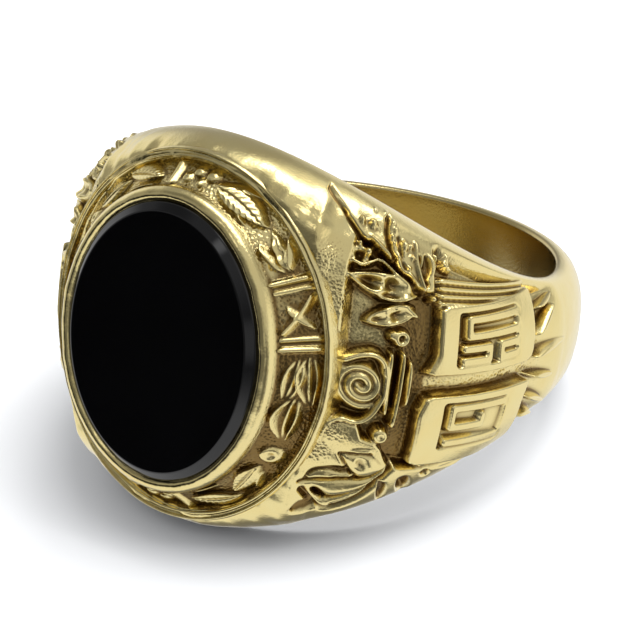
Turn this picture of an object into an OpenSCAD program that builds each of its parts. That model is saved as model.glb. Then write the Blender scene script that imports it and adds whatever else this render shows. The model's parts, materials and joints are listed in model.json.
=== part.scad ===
// A signet-style class ring: one gold casting with relief shoulders, and a flat oval black stone in a bezel.
// The ring lies on its side, as it rests by itself: the finger hole stands nearly upright and the stone faces -Y.

/* [Finger hole] */
// Diameter of the finger hole
bore_d = 19; // [18:0.1:20]
// Metal left beside the hole at the thin edges
edge_t = 0.25; // [0.2:0.05:0.4]

/* [Band] */
// Width of the band at the back of the finger
back_w = 5.5; // [5:0.1:6.5]
// Thickness of the band at the back of the finger
back_t = 1.6; // [1.4:0.1:2]
// Length of the head along the finger
head_l = 17.9; // [17.4:0.1:18.4]
// How deep the ground between the raised ornament lies
sink = 0.7; // [0.5:0.05:0.8]

/* [Head] */
// Distance from the finger's axis to the stone's flat top
face_h = 13.98; // [13.9:0.01:14.2]
// Length of the rim's inner oval, along the finger
rim_l = 16; // [15.8:0.1:16.2]
// Width of the rim's inner oval
rim_w = 14.74; // [14.5:0.02:15]

/* [Stone] */
// Length of the stone, along the finger
stone_l = 12.7; // [12.4:0.05:12.9]
// Width of the stone
stone_w = 10.6; // [10.3:0.05:10.8]
// Width of the bevel round the flat top
bevel = 0.32; // [0.2:0.02:0.5]
// Clearance between the stone and its seat
stone_gap = 0.05; // [0.03:0.01:0.08]

/* [Hidden] */
GOLD = "goldenrod";
ONYX = "black";

bore_r = bore_d / 2;
edge_r = bore_r + edge_t;
back_r = bore_r + back_t;
head_half = head_l / 2;
back_half = back_w / 2;
// The head's lower edge and the back's lower edge touch the table, so the finger hole leans by this much.
lean = atan((head_half - back_half) / (2 * edge_r));

// Heights above the finger's axis, measured towards the face.
seat_h = 11.4;
girdle_h = face_h - 0.42;
bezel_h = girdle_h + 0.1;
bezel_foot_h = face_h - 1.15;
rim_h = face_h - 2.1;
rim_sag = 0.43;
border_foot_h = 10.2;

STEP_BACK = 10;
STEP_FIELD = 4.5;
STEP_OVAL = 7.5;
ARC = 10;

// Stations of the band: angle from the face, crown radius, fullness of the section (2 is an ellipse).
S_ANGLE = 0;
S_CROWN = 1;
S_FULL = 2;
STATIONS = [
    [0, 11.5, 8],
    [15, 11.75, 7],
    [25, 12.75, 5],
    [33, 13.1, 3.4],
    [40, 13.3, 2.5],
    [50, 13.05, 2.2],
    [62, 12.6, 2.2],
    [75, 12.1, 2.1],
    [90, 11.5, 2.1],
    [102, 11.12, 2.1],
    [130, 10.98, 2.1],
    [180, back_r, 2.1]
];

function smooth(lo, hi, x) = let (t = min(1, max(0, (x - lo) / (hi - lo)))) t * t * (3 - 2 * t);
function fold(a) = abs(a - 360 * round(a / 360));

// Slope of a station's column, for a curve that passes through each row without a kink.
function slope(i, col) = i == 0 || i == len(STATIONS) - 1 ? 0 :
    let (
        before = (STATIONS[i][col] - STATIONS[i - 1][col]) / (STATIONS[i][S_ANGLE] - STATIONS[i - 1][S_ANGLE]),
        after = (STATIONS[i + 1][col] - STATIONS[i][col]) / (STATIONS[i + 1][S_ANGLE] - STATIONS[i][S_ANGLE])
    ) before * after <= 0 ? 0 : 2 * before * after / (before + after);

function station(a, col, i = 0) = i < len(STATIONS) - 2 && a > STATIONS[i + 1][S_ANGLE] ? station(a, col, i + 1) :
    let (
        run = STATIONS[i + 1][S_ANGLE] - STATIONS[i][S_ANGLE],
        t = (a - STATIONS[i][S_ANGLE]) / run,
        low = STATIONS[i][col],
        high = STATIONS[i + 1][col]
    ) low + (high - low) * t * t * (3 - 2 * t)
        + run * t * (1 - t) * ((1 - t) * slope(i, col) - t * slope(i + 1, col));

// Half the band's width at an angle: widest at the head, even round the back.
function half_width(a) = back_half + (head_half - back_half) * pow(cos(min(0.75 * a, 90)), 2.3);

// Depth of the sunk ground: none on the head, along the edges or round the back.
function sunk(a, z) = sink * smooth(34, 36.5, a) * (1 - smooth(97, 104, a))
    * (1 - smooth(0.9, 0.97, abs(z) / half_width(a)));

// Crown of the section at a height along the finger, then the same with the ground sunk.
function skin_r(a, z) = let (w = half_width(a), n = station(a, S_FULL))
    edge_r + (station(a, S_CROWN) - edge_r) * pow(max(0, 1 - pow(min(1, abs(z) / w), n)), 1 / n);
function ground_r(a, z) = skin_r(a, z) - sunk(a, z);

// A point of the band, by its angle from the face, height along the finger and distance from the axis.
function at(a, z, r) = [r * sin(a), -r * cos(a), z];

// Closed skin over a list of equal rings: with its ends joined when loop is true, capped flat when it is false.
module skin(rings, loop = false) {
    n = len(rings[0]);
    m = len(rings);
    sides = [for (i = [0 : loop ? m - 1 : m - 2]) for (j = [0 : n - 1])
        let (p = i * n, q = ((i + 1) % m) * n, k = (j + 1) % n)
            each [[p + j, p + k, q + k], [p + j, q + k, q + j]]];
    caps = loop ? [] : concat(
        [for (j = [1 : n - 2]) [0, j + 1, j]],
        [for (j = [1 : n - 2]) [(m - 1) * n, (m - 1) * n + j, (m - 1) * n + j + 1]]
    );
    polyhedron(points = [for (ring = rings) each ring], faces = concat(sides, caps), convexity = 8);
}

// The band

half_angles = concat(
    [for (a = [0 : STEP_BACK : 30]) a],
    [for (a = [34 : STEP_FIELD : 106]) a],
    [for (a = [110 : STEP_BACK : 180]) a]
);
all_angles = concat(half_angles, [for (i = [len(half_angles) - 2 : -1 : 1]) 360 - half_angles[i]]);

// One section, from the lower edge over the crown to the upper edge, then back inside the finger hole.
function section(a) = let (f = fold(a), w = half_width(f), n = station(f, S_FULL)) concat(
    [for (k = [0 : ARC])
        let (t = 180 * k / ARC, c = cos(t), z = -w * sign(c) * pow(abs(c), 2 / n))
            at(a, z, ground_r(f, z))],
    [at(a, w, bore_r - 1), at(a, -w, bore_r - 1)]
);

module band() {
    skin([for (a = all_angles) section(a)], loop = true);
}

// The head

// Angles round the stone, from the +X side towards the finger's lower end, and those halfway between them.
round_oval = [for (t = [360 : -STEP_OVAL : STEP_OVAL]) t];
round_stone = [for (t = round_oval) t - STEP_OVAL / 2];

// A point of the head: an oval's half width and half length, the angle round it, and its height to the face.
function oval_at(w, l, t, h) = [w * cos(t), -h, l * sin(t)];

// The bezel's outline round the stone: how far outside the stone in width and in length, and the height. Its lip
// is level, and its foot is where the channel's floor starts.
BEZEL = [
    [-0.4, -0.4, border_foot_h + 0.5],
    [-0.4, -0.4, girdle_h - 0.2],
    [0.1, 0.1, bezel_h],
    [0.32, 0.32, bezel_h],
    [0.52, 0.55, bezel_h - 0.25],
    [0.6, 0.64, bezel_foot_h]
];
BEZEL_FOOT = 5;

// The rim's outline: how far outside its inner oval in width and in length, and the height over its crest. The
// channel's floor ends at its first row, and below the last row it runs down to the foot inside the band.
RIM = [
    [-0.08, -0.08, -0.4],
    [0, 0, -0.05],
    [0.12, 0.1, 0.05],
    [0.38, 0.2, -0.02],
    [0.55, 0.3, -0.3]
];
RIM_FOOT = [0.8, 0.5];

// The border's section at an angle round the stone: bezel, channel floor, rim and flank.
function border_section(t) = let (
        sw = stone_w / 2 + stone_gap,
        sl = stone_l / 2 + stone_gap,
        rw = rim_w / 2,
        rl = rim_l / 2,
        rh = rim_h - rim_sag * pow(cos(t), 2)
    ) concat(
        [for (row = BEZEL) oval_at(sw + row[0], sl + row[1], t, row[2])],
        [for (row = RIM) oval_at(rw + row[0], rl + row[1], t, rh + row[2])],
        [oval_at(rw + RIM_FOOT[0], rl + RIM_FOOT[1], t, border_foot_h)]
    );

module border() {
    skin([for (t = round_oval) border_section(t)], loop = true);
}

// The cast relief

// Millimetres along the shoulder for one degree, and how deep the roots of the marks reach into the ground.
mm_per_degree = 13 * PI / 180;
root_depth = 0.3;

// Outward direction of the smooth skin, then a point above it. A shoulder's ground lies at a height of -sink.
function outward(a, z) = let (
        d = 0.2,
        along = at(a + d, z, skin_r(a + d, z)) - at(a - d, z, skin_r(a - d, z)),
        up = at(a, z + d, skin_r(a, z + d)) - at(a, z - d, skin_r(a, z - d)),
        n = cross(along, up)
    ) n / norm(n);
function above(a, z, h) = at(a, z, skin_r(a, z)) + h * outward(a, z);

// The middle of a shoulder's ornament lies a little below the band's own middle and further back. This is where a
// mark's place falls on the band, and a point above it.
drop = 0.28;
turn = 1;
function settled(a) = smooth(30, 46, a) * (1 - smooth(62, 100, a));
function on_shoulder(a, z, h) = let (s = settled(a)) above(a + turn * s, z - drop * s, h);

// A raised mark has two crests, this far out from its middle line. Its kind is how high the middle line is for the
// crests, how full and how square its outline is, and where along it its sections lie.
CREST = 0.55;
K_MIDDLE = 0;
K_FULL = 1;
K_SQUARE = 2;
K_STEPS = 3;
LEAF = [0.5, 1, 2, [0.04, 0.35, 0.7, 0.96]];
BEAD = [1.15, 0.5, 2, [0.04, 0.3, 0.7, 0.96]];
BAR = [1.1, 0.5, 8, [0.02, 0.5, 0.98]];

// Marks on a shoulder: kind, angle and height of its root, angle and height of its tip, width, rise.
M_KIND = 0;
M_ROOT = 1;
M_TIP = 2;
M_WIDTH = 3;
M_RISE = 4;
MARKS = [
    // The fan of leaves above the scroll
    [LEAF, [49, 4.05], [34.7, 4.6], 1.3, 0.75],
    [LEAF, [46.5, 4.9], [35.8, 5.4], 0.6, 0.6],
    [LEAF, [48, 4.6], [38.4, 6.3], 0.55, 0.6],
    [LEAF, [39, 6.1], [32.5, 7.25], 0.55, 0.5],
    [LEAF, [49, 4.5], [43.4, 6.4], 0.55, 0.6],
    [LEAF, [50.2, 4.6], [47.6, 6.1], 0.5, 0.6],
    [BEAD, [45, 6], [47.4, 5.8], 0.55, 0.6],
    [BEAD, [50.2, 5.4], [53, 5.4], 0.75, 0.6],
    // The folded leaf and the bud
    [LEAF, [49, 3.5], [38.4, 2.8], 1, 0.7],
    [BEAD, [44.6, 2.2], [48, 2.2], 0.85, 0.75],
    // The two rods and the blade beside them
    [BAR, [44.7, 1.6], [44.4, -1.6], 0.32, 0.7],
    [BAR, [46.9, 1.6], [46, -1.95], 0.36, 0.75],
    [LEAF, [48.6, 1], [48.5, -1.2], 0.4, 0.5],
    // The scroll in the middle
    [BAR, [35.8, 1], [40, 1.4], 0.35, 0.6],
    [BAR, [40, 1.4], [43, 0.9], 0.35, 0.6],
    [BAR, [43, 0.9], [43.2, -0.6], 0.35, 0.6],
    [BAR, [43.2, -0.6], [41, -1.35], 0.35, 0.6],
    [BAR, [41, -1.35], [37.5, -1.1], 0.32, 0.6],
    [BEAD, [37.4, -0.4], [41.2, -0.1], 1, 0.75],
    [LEAF, [36.4, 0.5], [41.8, 0.75], 0.5, 0.55],
    // The ribbon under it
    [BAR, [34.6, -2.8], [36.3, -1.75], 0.28, 0.5],
    [BAR, [36.3, -1.75], [40.5, -1.8], 0.28, 0.5],
    [BEAD, [42.6, -2.7], [46.4, -2.7], 0.95, 0.75],
    // The leaves below the scroll
    [LEAF, [47.5, -3.9], [37.4, -3.5], 1.3, 0.75],
    [LEAF, [47.6, -4.25], [31.8, -5.1], 1.5, 0.75],
    [LEAF, [46, -4.9], [33, -6.3], 0.85, 0.65],
    [LEAF, [48, -4.6], [45.8, -6], 0.55, 0.5],
    // The leaves past the panel
    [LEAF, [98, 2.1], [83.6, 1.4], 0.8, 0.5],
    [LEAF, [100, 0.2], [82.6, 0.4], 0.6, 0.4],
    [LEAF, [98, -2.1], [81.4, -1.6], 0.8, 0.5]
];

// Half a mark's width at a fraction of its length.
function spread(kind, t) = pow(1 - pow(abs(2 * t - 1), kind[K_SQUARE]), kind[K_FULL]) / 2;

module mark(row) {
    kind = row[M_KIND];
    run = row[M_TIP] - row[M_ROOT];
    run_mm = [run[0] * mm_per_degree, run[1]];
    side = [-run_mm[1] / mm_per_degree, run_mm[0]] / norm(run_mm);
    skin([for (t = kind[K_STEPS])
        let (
            p = row[M_ROOT] + run * t,
            q = side * row[M_WIDTH] * spread(kind, t),
            top = row[M_RISE] * (0.35 + 0.65 * sqrt(2 * spread(kind, t))) - sink
        ) [for (v = [[-1, -sink - root_depth], [-CREST, top], [0, (top + sink) * kind[K_MIDDLE] - sink],
                     [CREST, top], [1, -sink - root_depth]])
            on_shoulder(p[0] + q[0] * v[0], p[1] + q[1] * v[0], v[1])]]);
}

// A plate that follows the skin between two angles, two heights along the finger and two heights above the skin.
module plate(a, z, h) {
    n = ceil((a[1] - a[0]) / 9);
    middle = z[1] - z[0] > 1.5 ? [[(z[0] + z[1]) / 2, h[1]]] : [];
    corners = concat([[z[0], h[0]], [z[0], h[1]]], middle, [[z[1], h[1]], [z[1], h[0]]]);
    skin([for (i = [0 : n]) let (p = a[0] + (a[1] - a[0]) * i / n) [for (v = corners) on_shoulder(p, v[0], v[1])]]);
}

// Ribs along the band, at these fractions of its half width, and how wide each one is and how far its top lies
// under the smooth skin.
PLEATS = [0.68, 0.76, 0.84];
PLEAT_RUN = [55, 68.5, 82];
pleat_w = 0.34;
pleat_drop = 0.22;

module pleat(fraction) {
    foot = -sink - root_depth;
    skin([for (p = PLEAT_RUN)
        let (z = fraction * half_width(p))
            [for (v = [[-1, foot], [-0.4, -pleat_drop], [0.4, -pleat_drop], [1, foot]])
                above(p, z + v[0] * pleat_w / 2, v[1])]]);
}

// The tablets' outlines: angles, then heights along the finger, of the frame and of its sunk field. Then how far the
// frame stands over the smooth skin, and the level of its field.
UPPER_FRAME = [[53.4, 79], [0.38, 3.5]];
UPPER_FIELD = [[57, 76], [0.85, 3.1]];
LOWER_FRAME = [[51.6, 78], [-3.63, -0.52]];
LOWER_FIELD = [[56, 75], [-3.15, -0.9]];
panel_rise = 0.1;
field_floor = -0.3;

// The strokes of the fret: their width, the level of their tops, the room round them, how far the upright one stands
// from the fret's end, how much lower its top lies, and how deep they all reach into the field.
stroke = 0.32;
fret_top = 0;
fret_room = 0.3;
post_inset = 0.2;
post_drop = 0.04;
fret_foot = 0.2;

// A plain squared fret that fills half a field, and the same turned end for end in the other half.
module fret(field) {
    a = field[0];
    z = field[1];
    cell = (a[1] - a[0]) / 2;
    gap = fret_room / mm_per_degree;
    w = stroke / mm_per_degree;
    low = z[0] + fret_room;
    high = z[1] - fret_room;
    for (i = [0, 1]) {
        l = a[0] + i * cell + gap;
        r = l + cell - 1.6 * gap;
        h = [field_floor - fret_foot, fret_top];
        plate([l, r], [low, low + stroke], h);
        plate([l, r], [high - stroke, high], h);
        post = i == 0 ? l + post_inset : r - w - post_inset;
        plate([post, post + w], [low + stroke / 2, high - stroke / 2], h - [0, post_drop]);
        plate([l + 2.3 * w, r], [(low + high - stroke) / 2, (low + high + stroke) / 2], h);
    }
}

module tablet(frame, field) {
    difference() {
        plate(frame[0], frame[1], [-sink - root_depth, panel_rise]);
        plate(field[0], field[1], [field_floor, 1]);
    }
    fret(field);
}

module shoulder_relief() {
    for (row = MARKS) mark(row);
    tablet(UPPER_FRAME, UPPER_FIELD);
    tablet(LOWER_FRAME, LOWER_FIELD);
    for (f = PLEATS) {
        pleat(f);
        pleat(-f);
    }
}

// The marks in the channel round the stone, by angle round the stone and share of the channel's width. They come
// this many times round the stone. The bezel and the rim's foot take up the channel's edges, in millimetres.
CHANNEL_MARKS = [
    [LEAF, [-57, 0.75], [-72, 0.35], 0.9, 0.4],
    [LEAF, [-41, 0.5], [-55, 0.5], 0.75, 0.4],
    [BEAD, [-36, 0.5], [-29, 0.5], 0.6, 0.35],
    [LEAF, [-10, 0.45], [-25, 0.5], 0.75, 0.4],
    [LEAF, [5, 0.46], [-8, 0.28], 0.5, 0.34],
    [LEAF, [6, 0.62], [-7.5, 0.78], 0.52, 0.37],
    [BAR, [10, 0.06], [10, 0.94], 0.35, 0.35],
    [BAR, [14, 0.17], [27.5, 0.85], 0.3, 0.38],
    [BAR, [14.5, 0.84], [28, 0.16], 0.3, 0.31],
    [BAR, [32, 0.06], [32, 0.94], 0.35, 0.35],
    [LEAF, [36, 0.5], [52, 0.65], 0.75, 0.4],
    [LEAF, [78, 0.5], [57, 0.5], 1.1, 0.45],
    [BEAD, [83, 0.5], [90, 0.5], 0.6, 0.35]
];
CHANNEL_REPEATS = 2;
channel_edges = 0.7;

// A point over the channel's floor, and a mark there.
function over_channel(t, share, h) = let (
        foot = border_section(t)[BEZEL_FOOT],
        far = border_section(t)[BEZEL_FOOT + 1],
        p = foot + (far - foot) * share
    ) p + [0, -h, 0];

module channel_mark(row, start) {
    kind = row[M_KIND];
    run = row[M_TIP] - row[M_ROOT];
    mm = [(stone_w + rim_w) / 4 * PI / 180, (rim_w - stone_w) / 2 - channel_edges];
    run_mm = [run[0] * mm[0], run[1] * mm[1]];
    side = [-run_mm[1] / mm[0], run_mm[0] / mm[1]] / norm(run_mm);
    skin([for (t = kind[K_STEPS])
        let (
            p = row[M_ROOT] + run * t,
            q = side * row[M_WIDTH] * spread(kind, t),
            top = row[M_RISE] * (0.35 + 0.65 * sqrt(2 * spread(kind, t)))
        ) [for (v = [[1, -root_depth], [CREST, top], [0, top * kind[K_MIDDLE]], [-CREST, top], [-1, -root_depth]])
            over_channel(start + p[0] + q[0] * v[0], p[1] + q[1] * v[0], v[1])]]);
}

module channel_relief() {
    for (i = [0 : CHANNEL_REPEATS - 1]) for (row = CHANNEL_MARKS) channel_mark(row, i * 360 / CHANNEL_REPEATS);
}

// The casting

module casting_skin() {
    difference() {
        union() {
            band();
            border();
            channel_relief();
            shoulder_relief();
            mirror([1, 0, 0]) shoulder_relief();
        }
        seat();
    }
}

// The stone's seat, cut to a flat floor.
module seat() {
    skin([for (h = [seat_h, face_h]) [for (t = round_stone)
        oval_at(stone_w / 2 + stone_gap, stone_l / 2 + stone_gap, t, h)]]);
}

module band_and_setting() {
    color(GOLD) rotate([-lean, 0, 0]) difference() {
        resize([0, 0, 0]) casting_skin();
        cylinder(h = 3 * head_half, r = bore_r, center = true, $fn = 128);
    }
}

// The stone

steep_share = 0.3;
flat_drop = 0.12;

module onyx_stone() {
    // Inset from the girdle, and height. The bevel is steep first and then flatter.
    rows = [
        [0, seat_h + stone_gap],
        [0, girdle_h],
        [bevel * steep_share, face_h - flat_drop],
        [bevel, face_h]
    ];
    color(ONYX) rotate([-lean, 0, 0]) skin([for (row = rows) [for (t = round_stone)
        oval_at(stone_w / 2 - row[0], stone_l / 2 - row[0], t, row[1])]]);
}

band_and_setting();
onyx_stone();
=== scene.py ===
import json
import math

import bpy
import numpy as np
from mathutils import Matrix, Vector


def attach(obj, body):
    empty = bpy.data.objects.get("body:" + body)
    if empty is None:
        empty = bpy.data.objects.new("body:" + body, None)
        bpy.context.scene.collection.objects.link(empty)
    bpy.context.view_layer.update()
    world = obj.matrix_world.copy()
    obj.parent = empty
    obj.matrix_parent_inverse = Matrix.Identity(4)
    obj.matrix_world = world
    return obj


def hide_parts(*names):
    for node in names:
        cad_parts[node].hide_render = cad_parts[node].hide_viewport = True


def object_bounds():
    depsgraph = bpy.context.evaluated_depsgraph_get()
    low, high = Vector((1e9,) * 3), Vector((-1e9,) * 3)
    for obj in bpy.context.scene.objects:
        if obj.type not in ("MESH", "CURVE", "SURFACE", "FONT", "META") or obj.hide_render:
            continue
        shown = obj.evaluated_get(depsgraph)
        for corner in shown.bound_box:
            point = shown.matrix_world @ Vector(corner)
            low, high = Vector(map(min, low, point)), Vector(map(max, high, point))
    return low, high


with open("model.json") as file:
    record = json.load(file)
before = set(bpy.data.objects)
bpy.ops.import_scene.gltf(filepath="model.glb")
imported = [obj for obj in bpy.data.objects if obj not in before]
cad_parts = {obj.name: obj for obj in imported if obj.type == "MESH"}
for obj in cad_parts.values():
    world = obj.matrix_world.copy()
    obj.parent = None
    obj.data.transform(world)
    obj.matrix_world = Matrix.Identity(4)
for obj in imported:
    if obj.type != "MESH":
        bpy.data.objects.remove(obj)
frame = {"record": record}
cad_box = [list(corner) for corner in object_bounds()]

# A class ring that lies on its side: a gold casting with relief shoulders, and a flat oval black stone in
# a bezel. Lengths are in millimetres and in the ring's own frame until a mesh is made. There the finger
# hole runs along Z and the stone faces -Y. Angles go round the finger, in degrees, from the stone's middle
# towards +X.

MM = 0.001
hole = next(mount for mount in frame["record"]["mounts"] if mount["name"] == "finger_bore")
BORE_R = hole["dims"]["r_mm"]
LEAN = math.atan2(hole["axis"][1], hole["axis"][2])

# The band: radius of its thin edges, half its width at the back and at the head, how deep the ground
# between its ornament is sunk, and how deep the deepest places lie.
EDGE_R = BORE_R + 0.25
BACK_HALF = 2.75
HEAD_HALF = hole["dims"]["length_mm"] / 2
SINK = 0.7
DEEPEST = SINK + 0.16

# Heights over the finger's axis: the stone's flat top and girdle, the bezel and its foot, the rim at its
# ends, how far it sags at its sides, the stone's seat, and the foot of the border.
FACE_H = 13.98
GIRDLE_H = FACE_H - 0.42
BEZEL_H = GIRDLE_H + 0.1
BEZEL_FOOT_H = FACE_H - 1.15
RIM_H = FACE_H - 2.1
RIM_SAG = 0.43
SEAT_H = 11.4
FOOT_H = 10.2

# Half the width and half the length of the stone, and of the rim's inner oval.
STONE_HALF = (5.3, 6.35)
RIM_HALF = (7.37, 8.0)

# Crown of the band's section by angle.
CROWN = np.array([
    [0, 11.85], [15, 12.2], [25, 12.8], [33, 13.35], [40, 13.35], [50, 13.05], [62, 12.6],
    [75, 12.1], [90, 11.5], [102, 11.12], [130, 10.98], [180, 11.1],
])
# How full the section is at the head and behind it, where 2 is an ellipse, and the angles between the two.
FULLNESS = (2.0, 2.25)
FULLER = (22, 42)
# The band narrows from the head over this angle, by this power of a cosine.
NARROWS = 120
NARROWING = 2.3
# How far the head's level top reaches past the rim's oval, each way, and the angle beyond which there is
# none.
LAND = (0.3, 0.1)
HEAD_END = 60

# The angles between which a shoulder lies, the sections of a shoulder, the head and the back, and each
# section's points on the skin and in the hole.
SHOULDER = (26, 106)
SHOULDER_COLUMNS = 312
HEAD_COLUMNS = 121
BACK_COLUMNS = 149
SKIN_POINTS = 288
BORE_POINTS = 14


def smooth(low, high, x):
    """Zero below low, one above high, and an S-shaped cubic between them."""
    t = np.clip((x - low) / (high - low), 0, 1)
    return t * t * (3 - 2 * t)


def crown(angle):
    """Radius of the crown: a cubic through each two rows of the table. Its slope at a row is the harmonic
    mean of the slopes beside it, and zero where the table turns back."""
    knots, values = CROWN.T
    steps = np.diff(values) / np.diff(knots)
    before, after = steps[:-1], steps[1:]
    same_way = before * after > 0
    inner = np.where(same_way, 2 * before * after / np.where(same_way, before + after, 1), 0)
    slopes = np.concatenate([[0], inner, [0]])
    i = np.clip(np.searchsorted(knots, angle, side="right") - 1, 0, len(knots) - 2)
    run = knots[i + 1] - knots[i]
    t = (angle - knots[i]) / run
    level = values[i] + (values[i + 1] - values[i]) * t * t * (3 - 2 * t)
    return level + run * t * (1 - t) * ((1 - t) * slopes[i] - t * slopes[i + 1])


def half_width(angle):
    """Half the band's width: widest at the head, and even round the back."""
    narrow = np.cos(np.radians(np.minimum(90 / NARROWS * angle, 90))) ** NARROWING
    return BACK_HALF + (HEAD_HALF - BACK_HALF) * narrow


def rim_reach(angle):
    """How far along the finger the head's level top reaches at an angle: half an oval's chord, eased to
    nothing."""
    x = crown(angle) * np.sin(np.radians(angle)) / (RIM_HALF[0] + LAND[0])
    chord = (RIM_HALF[1] + LAND[1]) * np.sqrt(np.clip(1 - x * x, 0, 1))
    return chord * smooth(1, 0.8, x) * (angle < HEAD_END)


def skin_radius(angle, z):
    """Radius of the smooth skin: level near the rim, and from there a superellipse down to the thin edge."""
    reach = rim_reach(angle)
    v = np.clip((np.abs(z) - reach) / (half_width(angle) - reach), 0, 1)
    full = FULLNESS[0] + (FULLNESS[1] - FULLNESS[0]) * smooth(*FULLER, angle)
    return EDGE_R + (crown(angle) - EDGE_R) * (1 - v ** full) ** (1 / full)


def at(angle, z, radius):
    """Points by angle from the stone, height along the finger and radius."""
    a = np.radians(angle)
    return np.stack([radius * np.sin(a), -radius * np.cos(a), z], axis=-1)


# Marks of the relief. A form gives a mark's height from a place across it, q from -1 to 1, and a share t
# of the way from its root to its tip.

# Lengths along a shoulder are measured at this radius, so a degree is so many millimetres.
RELIEF_R = 13
PER_DEGREE = RELIEF_R * math.pi / 180
# A mark's side slopes over this width, and drops this steeply outside the outline.
WALL = 0.13
FALL = 3
# How wide the pit in a bead is, as a share of its radius.
PIT_REACH = 0.42
# A length that is longer than any on a shoulder.
FAR = 9.0


def ridge(q, t):
    """A crest along the midline, with straight slopes to the sides."""
    return 1 - 0.6 * np.abs(q)


def bowl(q, t):
    """A raised edge round a sunk middle, with three soft waves along it."""
    return 0.68 + 0.32 * smooth(0.1, 0.78, np.abs(q)) - 0.18 * np.sin(6 * np.pi * t) * (1 - q * q)


def vein(q, t):
    """A leaf with a sunk midrib and slanting ribs, which falls off to its sides."""
    ribs = 0.1 * np.cos(2 * np.pi * (9 * t - 1.5 * np.abs(q)))
    return 0.7 + 0.3 * smooth(0, 0.3, np.abs(q)) - 0.35 * q * q + ribs * smooth(0.1, 0.3, np.abs(q))


def hollow(q, t):
    """A thin raised edge round a deep middle, with a rib along the midline that ends before the tip."""
    rib = 0.5 * smooth(0.2, 0, np.abs(q)) * smooth(0.95, 0.6, t)
    return 0.08 + 0.92 * smooth(0.45, 0.75, np.abs(q)) + rib


def dome(q, t):
    """Half a circle across."""
    return np.sqrt(np.clip(1.02 - q * q, 0, 1))


def pointed(t):
    """Outline of a leaf from root to tip, as a share of its half width: a power of half a sine wave."""
    return np.sin(np.pi * np.clip(t, 0, 1) ** 0.85) ** 0.8


def even(t):
    """Outline of a rod with rounded ends: a superellipse of a high power."""
    return np.sqrt(np.clip(1 - np.abs(2 * t - 1) ** 10, 0, 1))


def mark(form, outline, root, tip, width, rise, bend, across, along):
    """Height of one raised mark over its ground. A point's share of the way from root to tip gives the
    mark's half width there, and its distance from the bowed midline gives its place across, from -1 to 1.
    The form gives the height at that place, and a short slope lets it down at the outline, and on below
    the ground."""
    run = np.subtract(tip, root)
    length = np.hypot(*run)
    x, y = across - root[0], along - root[1]
    t = (x * run[0] + y * run[1]) / length ** 2
    bow = 4 * bend * t * (1 - t)
    side = (y * run[0] - x * run[1]) / length - bow
    half = width / 2 * outline(t) * ((t > 0) & (t < 1))
    beyond = length * np.maximum(np.maximum(-t, t - 1), 0)
    room = half - np.hypot(side, beyond)
    q = side / np.maximum(half, 1e-6)
    height = rise * form(np.clip(q, -1, 1), np.clip(t, 0, 1))
    return height * smooth(0, WALL, room) + FALL * np.minimum(room, 0)


def bead(centre, radius, rise, pit, across, along):
    """Height of a round bead: half a ball, less a bell curve for the pit in its middle."""
    q = np.hypot(across - centre[0], along - centre[1]) / radius
    ball = np.sqrt(np.clip(1 - q * q, 0, 1)) - pit * np.exp(-((q / PIT_REACH) ** 2))
    return rise * ball + FALL * radius * np.minimum(1 - q, 0)


def joined(level, other, reach=0.16):
    """The higher of two levels, with a fillet along the line where they meet."""
    near = np.clip(reach - np.abs(level - other), 0, reach)
    return np.maximum(level, other) + near * near / (4 * reach)


def line_distance(points, across, along):
    """Distance to a line of straight pieces."""
    near = np.full(np.broadcast(across, along).shape, 99.0)
    for (x0, y0), (x1, y1) in zip(points, points[1:]):
        dx, dy = x1 - x0, y1 - y0
        t = np.clip(((across - x0) * dx + (along - y0) * dy) / (dx * dx + dy * dy), 0, 1)
        near = np.minimum(near, np.hypot(across - x0 - t * dx, along - y0 - t * dy))
    return near


def eased(points, passes=3):
    """The same line with its corners cut, in turn, into a smooth curve."""
    points = np.array(points, float)
    for _ in range(passes):
        near, far = points[:-1], points[1:]
        cut = np.stack([0.75 * near + 0.25 * far, 0.25 * near + 0.75 * far], axis=1).reshape(-1, 2)
        points = np.concatenate([points[:1], cut, points[-1:]])
    return points


def inside_distance(outline, across, along):
    """Distance to a closed outline: positive inside it and negative outside."""
    points = np.concatenate([outline, outline[:1]])
    inside = np.zeros(np.broadcast(across, along).shape, bool)
    for (x0, y0), (x1, y1) in zip(points, points[1:]):
        if y0 != y1:
            spans = (y0 > along) != (y1 > along)
            inside ^= spans & (across < x0 + (along - y0) * (x1 - x0) / (y1 - y0))
    return np.where(inside, 1, -1) * line_distance(points, across, along)


def rounded(outline, passes=2):
    """A closed outline in millimetres, from its corners as angle and height, with the corners cut round."""
    points = np.array(outline, float) * [PER_DEGREE, 1]
    for _ in range(passes):
        after = np.roll(points, -1, axis=0)
        cut = np.stack([0.75 * points + 0.25 * after, 0.25 * points + 0.75 * after], axis=1)
        points = cut.reshape(-1, 2)
    return points


def spiral(centre, start, pitch, turns, width, rise, across, along):
    """Height of a coiled ridge, half a circle across: its arms lie a pitch apart, and it ends after its
    turns."""
    x, y = across - centre[0], along - centre[1]
    radius = np.hypot(x, y)
    part = np.arctan2(y, x) / (2 * np.pi) + 0.5
    arm = np.round((radius - start) / pitch - part)
    off = np.abs(radius - start - pitch * (arm + part))
    there = (arm + part > -0.05) & (arm + part < turns)
    return rise * np.sqrt(np.clip(1 - (off / (width / 2)) ** 2, 0, 1)) * there


def box_distance(x, y, low, high, corner):
    """Distance inside a rectangle with round corners, negative outside it."""
    cx, cy = (low[0] + high[0]) / 2, (low[1] + high[1]) / 2
    dx = np.abs(x - cx) - (high[0] - low[0]) / 2 + corner
    dy = np.abs(y - cy) - (high[1] - low[1]) / 2 + corner
    outside = np.hypot(np.maximum(dx, 0), np.maximum(dy, 0)) + np.minimum(np.maximum(dx, dy), 0)
    return corner - outside


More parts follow.
